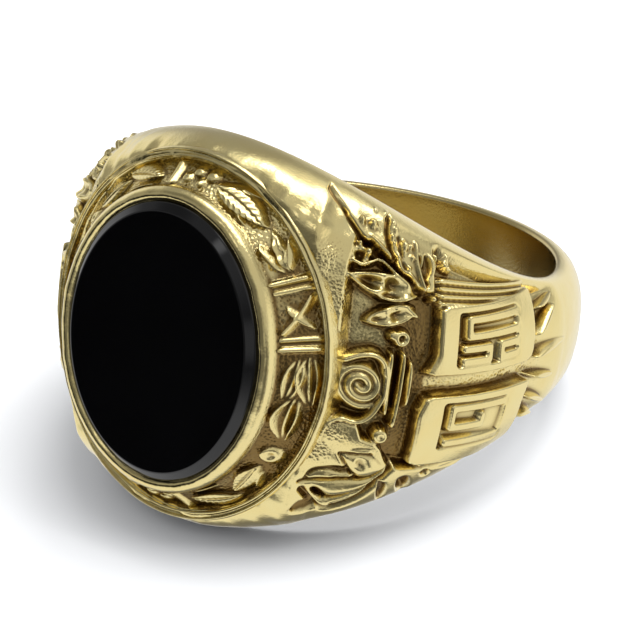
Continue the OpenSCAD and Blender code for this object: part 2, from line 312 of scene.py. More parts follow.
# Marks on a shoulder: form, outline, root and tip as angle and height along the finger, width, rise, bow.
LEAVES = [
    (bowl, pointed, (50, 4.12), (33.9, 4.67), 1.3, 0.86, -0.02),
    (ridge, pointed, (43.8, 5.46), (37.6, 6.5), 0.5, 0.84, 0.04),
    (ridge, pointed, (46.6, 5.1), (43, 6), 0.3, 0.76, -0.08),
    (ridge, pointed, (49.2, 4.4), (44.8, 5.36), 0.36, 0.84, 0),
    (ridge, pointed, (40.8, 6.6), (36.6, 7.02), 0.3, 0.76, 0.03),
    (bowl, pointed, (49.3, 3.5), (37.9, 2.75), 1.1, 0.72, -0.06),
    (ridge, pointed, (47.5, 3.65), (38, 2.78), 0.24, 0.84, -0.05),
    (ridge, pointed, (49.2, 3.05), (45.6, 3.7), 0.6, 0.8, 0),
    (dome, even, (44.4, 1.62), (44.3, -1.45), 0.42, 0.72, 0),
    (dome, even, (46.6, 1.66), (45.8, -2), 0.44, 0.86, 0.06),
    (ridge, pointed, (48.8, 1.3), (48.6, -1.35), 0.55, 0.66, 0),
    (ridge, pointed, (43.6, -3.1), (37.4, -3.3), 0.34, 0.88, -0.06),
    (bowl, pointed, (53, 5.9), (58.2, 4.95), 0.7, 0.6, 0.05),
    (dome, pointed, (94, 2.5), (82.6, 1.3), 0.62, 0.82, 0.08),
    (dome, pointed, (95, 2.9), (83.6, 2.6), 0.5, 0.76, 0.12),
    (dome, pointed, (101, 0.5), (82.4, 0.3), 0.62, 0.76, -0.06),
    (dome, pointed, (96, -0.9), (82.6, -0.45), 0.5, 0.74, 0.1),
    (dome, pointed, (95.5, -2.3), (80.6, -1.3), 0.55, 0.8, 0.05),
    (dome, pointed, (93, -2.85), (79.5, -2.4), 0.45, 0.74, -0.05),
]
# Flat-topped leaves on a shoulder: corners as angle and height along the finger, rise, and how domed they
# are.
PLATES = [
    ([(37, -3.45), (40, -3.2), (43.6, -3.36), (45.2, -3.7), (47.5, -3.77), (46.4, -3.98), (44.4, -4.3),
      (41.5, -4.53), (39.5, -4.33)], 0.88, 0.16),
    ([(31, -5.2), (33, -5.12), (35.5, -4.94), (40, -4.7), (43.4, -4.6), (45.3, -4.24), (47.6, -3.92),
      (45.7, -4.48), (42.6, -5.04), (39.9, -5.47), (36, -5.84), (33.6, -5.42)], 0.9, 0.18),
    ([(31.4, -5.46), (32.8, -6.08), (34.5, -6.48), (36.5, -6.46), (40.2, -5.96), (43.2, -5.38), (45.5, -4.69),
      (47.3, -4.09), (43.5, -4.98), (41.8, -5.36), (39.1, -5.82), (36.4, -6.1), (34.9, -6.08), (33.4, -5.87),
      (32.3, -5.54)], 0.84, 0.14),
    ([(31.8, -4.99), (33.6, -4.6), (35.5, -4.47), (37.8, -4.57), (39.8, -4.52), (37, -4.76), (33.9, -4.92)],
     0.86, 0.1),
]
# Dark pits cut into the skin of a shoulder: their corners, and depth.
PITS = [
    ([(32, 7.24), (33.4, 6.98), (34.9, 6.68), (36.8, 6.34), (38.2, 6.1), (37, 6.02), (35.4, 6.28),
      (33.8, 6.66), (32.6, 6.98)], 0.5),
    ([(54, 6.02), (55.3, 5.7), (55.6, 5.1), (56.4, 4.78), (54.6, 4.75), (53.9, 5.3)], 0.34),
    ([(49.7, 5.1), (50.1, 5.62), (51, 5.76), (51.9, 5.5), (52, 5.05), (51.4, 4.76), (50.3, 4.74)], 0.42),
    ([(31.6, -4.95), (32.7, -4.48), (35.5, -4.24), (38.1, -4.16), (39.8, -4.4), (37.8, -4.5), (35.5, -4.42),
      (33.6, -4.56)], 0.36),
    ([(32.4, -5.52), (33.7, -5.42), (35.2, -5.73), (36, -5.93), (34.9, -6.13), (33.4, -5.91)], 0.6),
    ([(28.6, -6.55), (31, -6.13), (32.5, -6.2), (34.3, -6.62), (32.1, -6.78), (29.2, -6.85)], 0.36),
    ([(45.6, -4.75), (47.5, -4.8), (48.3, -5.5), (48, -6), (46.9, -5.95), (45.8, -5.42)], 0.34),
    ([(49.8, -4.5), (52.8, -4.52), (54.7, -5.57), (52.1, -5.65), (50, -5.09)], 0.5),
    ([(54.6, -4.3), (57, -4.2), (58, -4.5), (56.4, -4.7)], 0.3),
]
# Beads on a shoulder: centre as angle and height along the finger, radius, rise, and the depth of the pit
# in it as a share of the rise.
BEADS = [
    ((36.6, 5.52), 0.5, 0.82, 0.85),
    ((36.4, 6), 0.14, 0.84, 0),
    ((38.1, 5.71), 0.25, 0.86, 0),
    ((38.9, 5.9), 0.14, 0.84, 0),
    ((38.6, 6.78), 0.24, 0.88, 0),
    ((36.3, 6.84), 0.2, 0.88, 0),
    ((38.8, 7.2), 0.13, 0.84, 0),
    ((41.4, 7.1), 0.15, 0.84, 0),
    ((42.9, 6.84), 0.15, 0.84, 0),
    ((43.4, 6.62), 0.15, 0.84, 0),
    ((42.7, 6.4), 0.13, 0.82, 0),
    ((43, 6.16), 0.13, 0.82, 0),
    ((44.1, 5.63), 0.15, 0.82, 0),
    ((45.4, 6.05), 0.34, 0.82, 0),
    ((45.8, 5.56), 0.3, 0.8, 0.7),
    ((46.9, 6.02), 0.16, 0.82, 0),
    ((47.3, 5.6), 0.14, 0.8, 0),
    ((46.6, 5.2), 0.13, 0.8, 0),
    ((51, 5.25), 0.62, 0.86, 0.2),
    ((53.5, 4.62), 0.13, 0.8, 0),
    ((53.7, 4.33), 0.13, 0.8, 0),
    ((53.4, 4.06), 0.13, 0.82, 0),
    ((52.1, 3.9), 0.2, 0.86, 0),
    ((53.6, 3.76), 0.13, 0.84, 0),
    ((54.6, 3.66), 0.12, 0.84, 0),
    ((46.3, 2.16), 0.46, 0.82, 0.65),
    ((44.6, 2.3), 0.3, 0.66, 0.2),
    ((44.2, -2.4), 0.46, 0.88, 0.3),
]
# Dimples pressed into the leaves: centre, reach along the band, reach along the finger, depth. A swell has
# its depth below zero.
DIMPLES = [
    ((40.9, -3.72), 0.22, 0.26, 0.2),
    ((39.4, 4.5), 0.4, 0.26, 0.2),
    ((42.2, 4.03), 0.5, 0.1, 0.3),
    ((43, 4.55), 0.3, 0.25, 0.15),
    ((36.6, -2.65), 0.9, 0.6, -0.1),
    ((34, -3.9), 0.9, 0.5, -0.08),
]
# Lines on a shoulder: points, width, and rise over the ground, or depth under the skin where it is negative.
LINES = [
    ([(33, -2.95), (33.4, -2.52), (34.4, -1.98), (36.6, -1.7), (38.4, -1.8), (40, -1.76), (41.8, -1.37),
      (42.8, -0.93), (43.7, -0.4), (43.6, 0.6)], 0.34, 0.82),
    ([(43.5, 0.6), (43.2, 1.1), (41.2, 1.45), (38.4, 1.3), (36, 0.95)], 0.46, 0.8),
    ([(35.9, 1), (35, 0.2), (34.9, -1), (35.3, -1.5)], 0.26, 0.5),
    ([(35.4, 5.23), (37.3, 5.1), (38.6, 5.3), (40.1, 5.52), (41.5, 5.36), (43.3, 5.05), (46, 4.62)],
     0.18, 0.84),
    ([(48.3, 6.1), (48.3, 5.4), (49.1, 4.83), (50.2, 4.3)], 0.26, 0.78),
    ([(47.6, -4.05), (45.5, -4.74), (43.2, -5.44), (40.2, -6.03), (36.5, -6.54), (34.4, -6.56), (32.5, -6.13),
      (31, -5.6)], 0.24, -0.46),
    ([(46, -4.46), (42.6, -5.1), (39.9, -5.53), (35.9, -5.92)], 0.22, -0.42),
    ([(43.5, -4.95), (41.8, -5.44), (39.1, -5.92), (36.6, -6.24)], 0.1, -0.14),
    ([(30.5, -5.14), (33, -5.04), (35.5, -4.86), (40, -4.62), (43.4, -4.52), (45.2, -4.16), (47.4, -3.86)],
     0.16, -0.36),
    ([(37.1, -3.46), (39.4, -4.38), (41.5, -4.6)], 0.1, -0.2),
    ([(37, -3.42), (40, -3.28), (43, -3.3)], 0.09, -0.2),
    ([(31.4, -5), (32.6, -4.46), (35.5, -4.2), (38.1, -4.1), (39.9, -4.36)], 0.13, -0.26),
    ([(28.4, 7.86), (30, 7.6), (31.6, 7.3), (33, 7.02)], 0.14, -0.2),
    ([(38.2, 6.08), (40.6, 5.78), (43.2, 5.33), (46.4, 4.71), (49.8, 4.08)], 0.24, -0.4),
    ([(41.7, 7), (41.7, 6.55), (42.4, 6.01), (43.9, 5.3)], 0.2, -0.34),
    ([(44.3, 6.4), (44.8, 5.8), (46.2, 5), (48, 4.5)], 0.12, -0.22),
    ([(49.3, 5.6), (49.8, 5.1), (50.9, 4.5)], 0.18, -0.34),
]
# The scroll: its centre, start, pitch, turns, width and rise, and the round boss that it lies on, as a bead.
SCROLL = ((39.3, -0.1), 0.1, 0.42, 2.4, 0.36, 0.2)
BOSS = ((39.3, -0.1), 1.35, 0.5, 0)


def eased_line(points):
    """A shoulder's line in millimetres, with its corners eased."""
    return eased([(angle * PER_DEGREE, z) for angle, z in points])


# Where the sunk ground ends above the lower leaves, as angle and height along the finger.
LEAF_LINE = np.array([
    [30, -3.2], [33, -3.05], [33.6, -2.6], [34.6, -2.1], [36.6, -1.84], [39.6, -1.92], [40.6, -2.5],
    [43, -2.66], [44.6, -2.95], [46, -3.6], [47.8, -3.95], [50, -4.1], [76, -4.3],
])
# Above this line, up to these angles, the ground among the upper leaves is higher, by so much.
TWIG_LINE = np.array([[34, 6.3], [38.2, 6.05], [50, 4.05]])
HIGH_GROUND = 0.56
HIGH_GROUND_ENDS = (54, 52.4)
# The sunk ground: the angle where it begins, how much later it begins at the band's edges and between
# which heights, the run over which it deepens, the angles over which it fades at the back, and the shares
# of the half width over which it rises to the edges.
GROUND_START = 34
GROUND_DELAY = 0.8
DELAY_HEIGHTS = (4.6, 6.4)
GROUND_RUN = 2.4
GROUND_FADE = (100, 84)
GROUND_EDGES = (0.92, 0.99)
# Behind these angles the lower leaves end, and the ground lies below them too.
LEAVES_END = (76, 80)
# The moat before the tablets: how much deeper it is, and where it begins, ends, and ends towards the edges.
MOAT = 0.14
MOAT_BEGINS = (45.5, 48)
MOAT_ENDS = (54, 52)
MOAT_HEIGHTS = (4.1, 3.8)


def ground(angle, z):
    """Depth of the ground under the skin: none on the flank, along the edges, under the lower leaves or
    round the back, less among the upper leaves, and deepest in the moat before the tablets."""
    start = GROUND_START + GROUND_DELAY * smooth(*DELAY_HEIGHTS, np.abs(z))
    begin = smooth(0, GROUND_RUN, angle - start)
    share = np.abs(z) / half_width(angle)
    edges = 1 - smooth(*GROUND_EDGES, share)
    over_leaves = smooth(-0.08, 0.1, z - np.interp(angle, *LEAF_LINE.T))
    foot = np.where(z < 0, np.maximum(over_leaves, smooth(*LEAVES_END, angle)), 1)
    moat = MOAT * smooth(*MOAT_BEGINS, angle) * smooth(*MOAT_ENDS, angle) * smooth(*MOAT_HEIGHTS, np.abs(z))
    over_twig = smooth(-0.1, 0.2, z - np.interp(angle, *TWIG_LINE.T))
    high = HIGH_GROUND * over_twig * smooth(*HIGH_GROUND_ENDS, angle)
    return ((SINK - high) * edges * foot + moat) * begin * smooth(*GROUND_FADE, angle)


# The tablets: frame and sunk field, each as angles and heights along the finger, then how far the wall
# towards the head slopes and that side slants, and the strokes of the fret as shares of the field.
TABLETS = [
    (((54.4, 82.4), (0.42, 3.6)), ((58.3, 75.4), (0.8, 3.24)), 0.5, 0.5, [
        [(1, 0.86), (0.17, 0.86), (0.17, 0.56), (1, 0.56)],
        [(0.12, 0.33), (0.5, 0.33), (0.5, 0.1), (0.12, 0.1)],
        [(1, 0.33), (0.7, 0.33), (0.7, 0.1), (1, 0.1)],
    ]),
    (((51.3, 80.5), (-3.95, -0.42)), ((56.8, 73.8), (-3.14, -0.82)), 0.32, -0.35, [
        [(1, 0.86), (0.15, 0.86), (0.15, 0.46), (0.62, 0.46), (0.62, 0.64)],
        [(0.12, 0.12), (1, 0.12)],
    ]),
]
FRAME_RISE = 0.06
FRAME_CORNER = 0.3
FIELD_CORNER = 0.18
# How deep a field is sunk at its side towards the head and at the other, how wide the fret's strokes are,
# and how far they lie below the frame.
FIELD = (0.5, 0.2)
STROKE = 0.38
STROKE_BELOW = 0.03

# The pleats: the heights between which they lie at their front and back ends, the angles of these ends,
# how many there are, how deep the grooves between them are, and how high their ribs stand in these.
PLEAT_FRONT = (3.52, 4.66)
PLEAT_BACK = (3.02, 3.72)
PLEAT_RUN = (53.6, 83)
PLEATS = 3.5
GROOVE = 0.34
RIB = 0.3


def tablet(outline, field, slope, slant, strokes, angle, z):
    """Level of a tablet over the skin: a frame with rounded corners, a field sunk most at its side towards
    the head, and a squared fret raised in it. The frame's side towards the head slopes down to the
    ground."""
    (a0, a1), (z0, z1) = outline
    x = angle * PER_DEGREE
    lean_in = slant * smooth(1.5, 0.3, np.abs(z))
    side = x + lean_in - a0 * PER_DEGREE
    end = (a1 * PER_DEGREE, z1)
    rest = box_distance(x, z, (a0 * PER_DEGREE - FAR, z0), end, FRAME_CORNER)
    near = box_distance(x + lean_in, z, (a0 * PER_DEGREE, z0), end, FRAME_CORNER)
    cover = np.minimum(smooth(-slope, 0.04, side), smooth(-0.04, 0.2, rest))
    cover = np.maximum(cover * smooth(-slope, -0.02, near), smooth(-0.04, 0.08, near))
    level = -DEEPEST + (DEEPEST + FRAME_RISE) * cover
    (b0, b1), (y0, y1) = field
    along = np.clip((angle - b0) / (b1 - b0), 0, 1)
    sunk = box_distance(x, z, (b0 * PER_DEGREE, y0), (b1 * PER_DEGREE, y1), FIELD_CORNER)
    inside = smooth(0, 0.12, sunk)
    bottom = level - (FIELD[0] + (FIELD[1] - FIELD[0]) * along) * inside
    off = np.full(angle.shape, FAR)
    for stroke in strokes:
        points = [((b0 + (b1 - b0) * u) * PER_DEGREE, y0 + (y1 - y0) * v) for u, v in stroke]
        off = np.minimum(off, line_distance(points, x, z) - STROKE / 2)
    return bottom + (level - STROKE_BELOW - bottom) * smooth(0.1, -0.05, off)


def pleats(angle, z):
    """Level of the pleats between a tablet and the band's edge: ribs side by side that draw together to
    the back."""
    t = (angle - PLEAT_RUN[0]) / (PLEAT_RUN[1] - PLEAT_RUN[0])
    low = PLEAT_FRONT[0] + (PLEAT_BACK[0] - PLEAT_FRONT[0]) * t
    high = PLEAT_FRONT[1] + (PLEAT_BACK[1] - PLEAT_FRONT[1]) * t
    v = (np.abs(z) - low) / (high - low)
    wave = np.abs(np.sin(np.pi * PLEATS * v))
    there = smooth(-0.02, 0.02, t) * smooth(1.03, 0.97, t) * smooth(-0.16, -0.04, v) * smooth(1.3, 1.1, v)
    return -SINK + there * (SINK - GROOVE + RIB * wave ** 0.6)


# How far the middle of a shoulder's ornament lies below the band's own middle, between which angles that
# begins and ends, and how many degrees further back the ornament lies there.
DROP = 0.28
DROP_BEGINS = (30, 46)
DROP_ENDS = (100, 62)
TURN = 1.0
# The angles over which the relief begins beside the head.
RELIEF_BEGINS = (26.6, 28.6)


def relief(angle, z):
    """Displacement of a shoulder's skin along its normal: the highest of the ground and of every raised
    mark, less what the dimples, pits and cut lines take away. Also how deep each point is cut under its
    ground."""
    lower = DROP * smooth(*DROP_BEGINS, angle) * smooth(*DROP_ENDS, angle)
    angle, z = angle - TURN / DROP * lower, z + lower
    x = angle * PER_DEGREE
    base = -ground(angle, z)
    level = base
    for form, outline, root, tip, width, rise, bow in LEAVES:
        ends = [(root[0] * PER_DEGREE, root[1]), (tip[0] * PER_DEGREE, tip[1])]
        level = joined(level, mark(form, outline, *ends, width, rise, bow, x, z) - SINK)
    (a, height), *shape = BOSS
    boss = bead((a * PER_DEGREE, height), *shape, x, z)
    (a, height), *shape = SCROLL
    boss = boss + spiral((a * PER_DEGREE, height), *shape, x, z)
    level = joined(level, boss - SINK)
    for outline, rise, swell in PLATES:
        d = inside_distance(rounded(outline), x, z)
        top = rise - swell * smooth(0.45, 0, d)
        level = joined(level, top * smooth(0, WALL, d) + FALL * np.minimum(d, 0) - SINK)
    for (a, height), *shape in BEADS:
        level = joined(level, bead((a * PER_DEGREE, height), *shape, x, z) - SINK, 0.08)
    for row in TABLETS:
        level = joined(level, tablet(*row, angle, z), 0.06)
    level = np.maximum(level, pleats(angle, z))
    for outline, depth in PITS:
        level = level - depth * smooth(-0.05, 0.14, inside_distance(rounded(outline), x, z))
    for points, width, rise in LINES:
        q = line_distance(eased_line(points), x, z) / (width / 2)
        profile = np.sqrt(np.clip(1 - q * q, 0, 1))
        level = np.maximum(level, rise * profile - SINK) if rise > 0 else level + rise * smooth(1.6, 0.2, q)
    for (a, height), reach_x, reach_z, depth in DIMPLES:
        off = ((x - a * PER_DEGREE) / reach_x) ** 2 + ((z - height) / reach_z) ** 2
        level = level - depth * np.exp(-off ** 1.5)
    fade = smooth(*RELIEF_BEGINS, angle)
    return np.maximum(level, -DEEPEST) * fade, np.maximum(base - level, 0) * fade


def ripple(x, y):
    """The uneven finish of a cast and hand-polished skin, from -1 to 1: crossed waves of unlike lengths."""
    waves = (
        np.sin(2.1 * x + 1.3 * y) * np.sin(1.7 * y - 0.6 * x + 0.8)
        + 0.6 * np.sin(4.3 * x - 2.9 * y + 1.9) * np.sin(3.7 * y + 1.1 * x)
        + 0.35 * np.sin(9.1 * x + 5.3 * y) * np.sin(8.3 * y - 3.9 * x + 0.4)
    )
    return waves / 1.95


def softened(values, passes, wrap=(False, False)):
    """Values on a grid after that many turns of averaging each with its neighbours, in the shares 1, 2 and
    1."""
    for _ in range(passes):
        for axis in (0, 1):
            ahead, behind = np.roll(values, -1, axis), np.roll(values, 1, axis)
            if not wrap[axis]:
                end = [slice(None), slice(None)]
                end[axis] = -1
                ahead[tuple(end)] = values[tuple(end)]
                end[axis] = 0
                behind[tuple(end)] = values[tuple(end)]
            values = (ahead + 2 * values + behind) / 4
    return values


def patina_of(level, passes, wrap=(False, False), reach=0.22):
    """How dark the old polish sits, from 0 to 1: how much lower a point lies than the mean round it."""
    return np.clip((softened(level, passes, wrap) - level) / reach, 0, 1)


# Meshes

def upright(points):
    """Points of the ring's own frame, in millimetres, as they lie in the scene, in metres."""
    x, y, z = np.moveaxis(points, -1, 0)
    c, s = math.cos(LEAN), math.sin(LEAN)
    return np.stack([x, y * c + z * s, z * c - y * s], axis=-1) * MM


def grid_normals(points):
    """Directions square to a grid of points: the cross product of its two ways along."""
    n = np.cross(np.gradient(points, axis=0), np.gradient(points, axis=1))
    return n / np.maximum(np.linalg.norm(n, axis=-1, keepdims=True), 1e-12)


def surface(name, points, wrap, marks):
    """A closed mesh over a grid: four-sided faces between neighbours, round again where a way wraps, and a
    fan of triangles over each open end of the first way. All faces are turned so that the volume is
    positive. The marks are named numbers for each point, which the materials read."""
    rows, columns = points.shape[:2]
    index = np.arange(rows * columns).reshape(rows, columns)
    up = np.roll(index, -1, 0) if wrap[0] else index[1:]
    here = index if wrap[0] else index[:-1]
    quads = np.stack([here, np.roll(here, -1, 1), np.roll(up, -1, 1), up], axis=-1).reshape(-1, 4)
    vertices = points.reshape(-1, 3)
    fans = []
    seams = []
    if not wrap[0]:
        for ring, turn in ((index[0], 1), (index[-1], -1)):
            centre = len(vertices)
            vertices = np.concatenate([vertices, points.reshape(-1, 3)[ring].mean(0, keepdims=True)])
            fans.append(np.stack([np.full(columns, centre), np.roll(ring, -1), ring], axis=-1)[:, ::turn])
            seams.append(ring)
    corners = vertices[quads]
    volume = np.einsum("ij,ij->i", corners[:, 0], np.cross(corners[:, 1], corners[:, 2])).sum()
    volume += np.einsum("ij,ij->i", corners[:, 0], np.cross(corners[:, 2], corners[:, 3])).sum()
    if volume < 0:
        quads = quads[:, ::-1]
        fans = [fan[:, ::-1] for fan in fans]
    loops = np.concatenate([quads.ravel(), *[fan.ravel() for fan in fans]])
    sizes = np.concatenate([np.full(len(quads), 4), *[np.full(len(fan), 3) for fan in fans]])
    mesh = bpy.data.meshes.new(name)
    mesh.vertices.add(len(vertices))
    mesh.vertices.foreach_set("co", upright(vertices).astype(np.float32).ravel())
    mesh.loops.add(len(loops))
    mesh.loops.foreach_set("vertex_index", loops.astype(np.int32))
    mesh.polygons.add(len(sizes))
    mesh.polygons.foreach_set("loop_start", np.concatenate([[0], np.cumsum(sizes)[:-1]]).astype(np.int32))
    mesh.polygons.foreach_set("loop_total", sizes.astype(np.int32))
    mesh.update(calc_edges=True)
    mesh.polygons.foreach_set("use_smooth", np.ones(len(sizes), bool))
    if seams:
        edges = np.zeros(len(mesh.edges) * 2, np.int32)
        mesh.edges.foreach_get("vertices", edges)
        on_seam = np.zeros(len(vertices), bool)
        on_seam[np.concatenate(seams)] = True
        sharp = mesh.attributes.new("sharp_edge", "BOOLEAN", "EDGE")
        sharp.data.foreach_set("value", on_seam[edges.reshape(-1, 2)].all(axis=1))
    for key, values in marks.items():
        full = np.concatenate([values.ravel(), np.zeros(len(vertices) - values.size)])
        attribute = mesh.attributes.new(key, "FLOAT", "POINT")
        attribute.data.foreach_set("value", full.astype(np.float32))
    mesh.validate()
    piece = bpy.data.objects.new(name, mesh)
    bpy.context.scene.collection.objects.link(piece)
    return piece


# Patches of the skin that are pitted: middle as angle and height along the finger, and their reach each way.
PITTED = [((33.2, 3.7), 0.5, 0.9), ((35.8, -2.55), 0.6, 0.5), ((33, -3.4), 0.5, 0.5), ((30.5, 5.2), 0.6, 0.6)]


def pitted(angle, z):
    """How pitted the skin is, from 0 to 1: a bell curve round the middle of each patch."""
    share = np.zeros(angle.shape)
    for (a, height), reach_x, reach_z in PITTED:
        across, along = (angle - a) * PER_DEGREE / reach_x, (z - height) / reach_z
        share = np.maximum(share, np.exp(-(across ** 2 + along ** 2)))
    return share


# How high a section stands as a share of its half width, which spreads its points, and the steps to
# measure it.
SECTION_HEIGHT = 0.55
MEASURING_STEPS = 4000


def even_shares(count):
    """Shares of the half width, from -1 to 1, that lie evenly along a section shaped like half an
    ellipse."""
    t = np.linspace(0, np.pi, MEASURING_STEPS)
    step = np.hypot(np.diff(np.cos(t)), SECTION_HEIGHT * np.diff(np.sin(t)))
    reach = np.concatenate([[0], np.cumsum(step)])
    return -np.cos(np.interp(np.linspace(0, reach[-1], count), reach, t))


# How far the skin drops below the border, how much larger than the rim's inner oval the place is where it
# drops, each way, and the shares of that oval over which it does.
UNDER_BORDER = 1.25
UNDER_REACH = (0.14, 0.12)
UNDER_EDGE = (0.985, 0.93)


def under_border(angle, z, radius):
    """How far the skin drops out of sight below the border that lies on the head."""
    x = radius * np.sin(np.radians(angle)) / (RIM_HALF[0] + UNDER_REACH[0])
    rho = np.hypot(x, z / (RIM_HALF[1] + UNDER_REACH[1]))
    return UNDER_BORDER * smooth(*UNDER_EDGE, rho) * (np.abs(angle) < HEAD_END)


# The patina and the painted shade: passes of averaging that find wide hollows and narrow ones, how deep a
# narrow one is where it is all dark, how dark the finger hole is painted, as painted shade inside it, and how
# much darker the deep ground, the moat before the tablets, whose darkening is painted shade, and the cuts
# are. The moat's painted shade lies between these angles and above these heights, the ground's and the moat's
# darkening lies deeper and further to the front than these, and a cut's patina is deeper than these. The
# upper leaves hold less patina, by so much, above these heights and before these angles: painted light on the
# ring's upper side.
WIDE = 26
NARROW = 5
NARROW_REACH = 0.07
BORE_SHADE = 0.3
DEEP_GROUND = 0.02
DARK_MOAT = 0.83
DARK_CUTS = 0.7
MOAT_SHADE = ((44, 46.5), (54.5, 53), (-4.3, -4))
GROUND_SHADE = ((0.3, 0.75), (108, 92))
CUT_SHADE = (0.06, 0.34)
UPPER_LIGHTER = 0.45
UPPER_LIGHTER_HEIGHTS = (3.8, 4.6)
UPPER_LIGHTER_ANGLES = (50, 48)


def skin_patina_and_shade(level, cut, angle, z):
    """How dark the patina and the painted shade are, from 0 to 1: the darker of what wide and narrow hollows
    hold, with more in the deep ground, painted shade most of all in the moat, and patina in cuts, and less on
    the upper leaves, which is painted light on the ring's upper side."""
    # Painted light: the upper leaves hold less patina, which makes them lighter on the ring's upper side.
    bright = 1 - UPPER_LIGHTER * smooth(*UPPER_LIGHTER_HEIGHTS, z) * smooth(*UPPER_LIGHTER_ANGLES, angle)
    hollows = np.maximum(patina_of(level, WIDE) * bright, patina_of(level, NARROW, reach=NARROW_REACH))
    # Painted shade: the moat before the tablets is darkened far beyond what its hollows hold.
    begins, ends, low = MOAT_SHADE
    moat = smooth(*begins, angle) * smooth(*ends, angle) * smooth(*low, z)
    depths, back = GROUND_SHADE
    deep = smooth(*depths, -level) * (DEEP_GROUND + DARK_MOAT * moat) * smooth(*back, angle)
    return np.clip(hollows + deep + DARK_CUTS * bright * smooth(*CUT_SHADE, cut), 0, 1)


# How uneven the skin is: everywhere, more on the head's flank, more in the sunk ground, and in waves of
# twice the length on the flank. The flank ends over these angles, and the ground counts as sunk from these
# depths.
UNEVEN = 0.008
UNEVEN_FLANK = 0.03
UNEVEN_GROUND = 0.012
LONG_WAVES = 0.13
FLANK_ENDS = (40, 30)
SUNK = (0.3, 0.6)


def skin_waves(level, angle, z):
    """Height of the waves that casting and polishing leave: short ripples and, on the head's flank, long
    ones."""
    flank = smooth(*FLANK_ENDS, angle)
    uneven = UNEVEN + UNEVEN_FLANK * flank + UNEVEN_GROUND * smooth(*SUNK, -level)
    x = angle * PER_DEGREE
    waves = uneven * ripple(x, z) + LONG_WAVES * flank * ripple(0.5 * x + 1, 0.5 * z)
    return waves * smooth(1, 0.9, np.abs(z) / half_width(angle))


# The edge between the skin and the finger hole: how far each point lies in from the band's side, and how
# far outside the hole's wall. Then how far in from the sides the wall itself begins, and how stippled the
# ground is.
EDGE = np.array([[0.01, 0.13], [0.045, 0.055], [0.11, 0.012]])
WALL_START = 0.2
STIPPLED_GROUND = 0.3


def band_sections(angles, with_relief):
    """Sections of the band at the given angles: the skin from its lower edge to its upper one, a rounded
    edge, and the finger hole's wall back again. Gives the points, and how dark and how stippled each
    is."""
    shares = even_shares(SKIN_POINTS)
    signed = np.repeat(angles[:, None], SKIN_POINTS, 1)
    angle = np.abs(signed)
    z = half_width(angle) * shares
    radius = skin_radius(angle, z)
    skin = at(signed, z, radius)
    level, cut = relief(angle, z) if with_relief else (np.zeros_like(z), np.zeros_like(z))
    level = softened(level, 1)
    patina_and_shade = skin_patina_and_shade(level, cut, angle, z)
    stipple = np.maximum(pitted(angle, z), STIPPLED_GROUND * smooth(0.35, 0.6, -level))
    level = level + skin_waves(level, angle, z)
    normal = grid_normals(skin)
    outward = np.sign((normal * skin * [1, 1, 0]).sum(-1, keepdims=True).sum())
    skin = skin + outward * normal * level[..., None]
    skin = skin - at(signed, 0 * z, under_border(angle, z, radius))
    side = half_width(np.abs(angles))[:, None]
    wall = (side - WALL_START) * np.linspace(1, -1, BORE_POINTS)
    z_bore = np.concatenate([side - EDGE[:, 0], wall, EDGE[::-1, 0] - side], axis=1)
    r_bore = BORE_R + np.concatenate([EDGE[:, 1], np.zeros(BORE_POINTS), EDGE[::-1, 1]])
    bore = at(np.repeat(angles[:, None], len(r_bore), 1), z_bore, np.repeat(r_bore[None], len(angles), 0))
    points = np.concatenate([skin, bore], axis=1)
    marks = {
        # The finger hole's wall is darkened evenly: painted shade inside the hole.
        "patina_and_shade": np.concatenate([patina_and_shade, np.full(z_bore.shape, BORE_SHADE)], axis=1),
        "stipple": np.concatenate([stipple, np.zeros(z_bore.shape)], axis=1),
    }
    return points, marks


def shoulder(side, name):
    """One shoulder of the band with its cast relief, closed at both ends where it meets the rest."""
    angles = np.linspace(*SHOULDER, SHOULDER_COLUMNS)
    points, marks = band_sections(angles, True)
    return surface(name, points * [side, 1, 1], (False, True), marks)


def tube_part(name, angles):
    """A smooth stretch of the band between two angles."""
    points, marks = band_sections(angles, False)
    return surface(name, points, (False, True), marks)


# The head

def oval(half, grow, theta, height):
    """Points round the stone: an oval's two half lengths, how much it grows outwards, the angle and the
    height."""
    width, length = half[0] + grow[..., 0], half[1] + grow[..., 1]
    x, y, z = np.broadcast_arrays(width * np.cos(theta), -height, length * np.sin(theta))
    return np.stack([x, y, z], axis=-1)


def resampled(points, count):
    """Points spread evenly along a line of straight pieces."""
    reach = np.concatenate([[0], np.cumsum(np.linalg.norm(np.diff(points, axis=0), axis=1))])
    places = np.linspace(0, reach[-1], count)
    return np.stack([np.interp(places, reach, column) for column in points.T], axis=1)


# The bezel's outline and the rim's, each as growth of their oval and height over the bezel or the rim.
BEZEL = [(-0.4, -2.2), (-0.4, -0.25), (0.0, -0.1), (0.06, -0.02), (0.16, 0.03), (0.3, 0.0), (0.44, -0.1),
         (0.54, -0.28), (0.58, -0.5)]
RIM = [(-0.07, -0.4), (-0.03, -0.16), (0.01, 0), (0.06, 0.08), (0.13, 0.09), (0.19, 0.02), (0.25, -0.05),
       (0.31, -0.02), (0.37, 0.06), (0.43, 0.05), (0.49, -0.1), (0.52, -0.45), (0.52, -1.2)]

# How wide the rim is at its sides, as a share of its width at its ends.
RIM_NARROW = 0.7
# The border's points round the stone, across the channel, and across the bezel and the rim.
BORDER_COLUMNS = 640
CHANNEL_POINTS = 64
OUTLINE_POINTS = 44
# How much larger than the stone the bezel's inner oval is, how deep the channel's floor dips, how much the
# bezel and the rim take from the channel's width, how uneven the border is, and how long its waves are
# against a ripple's.
BEZEL_GAP = 0.03
CHANNEL_DIP = 0.05
CHANNEL_SIDES = 0.7
BORDER_WAVES = 0.05
BORDER_RIPPLE = 0.6
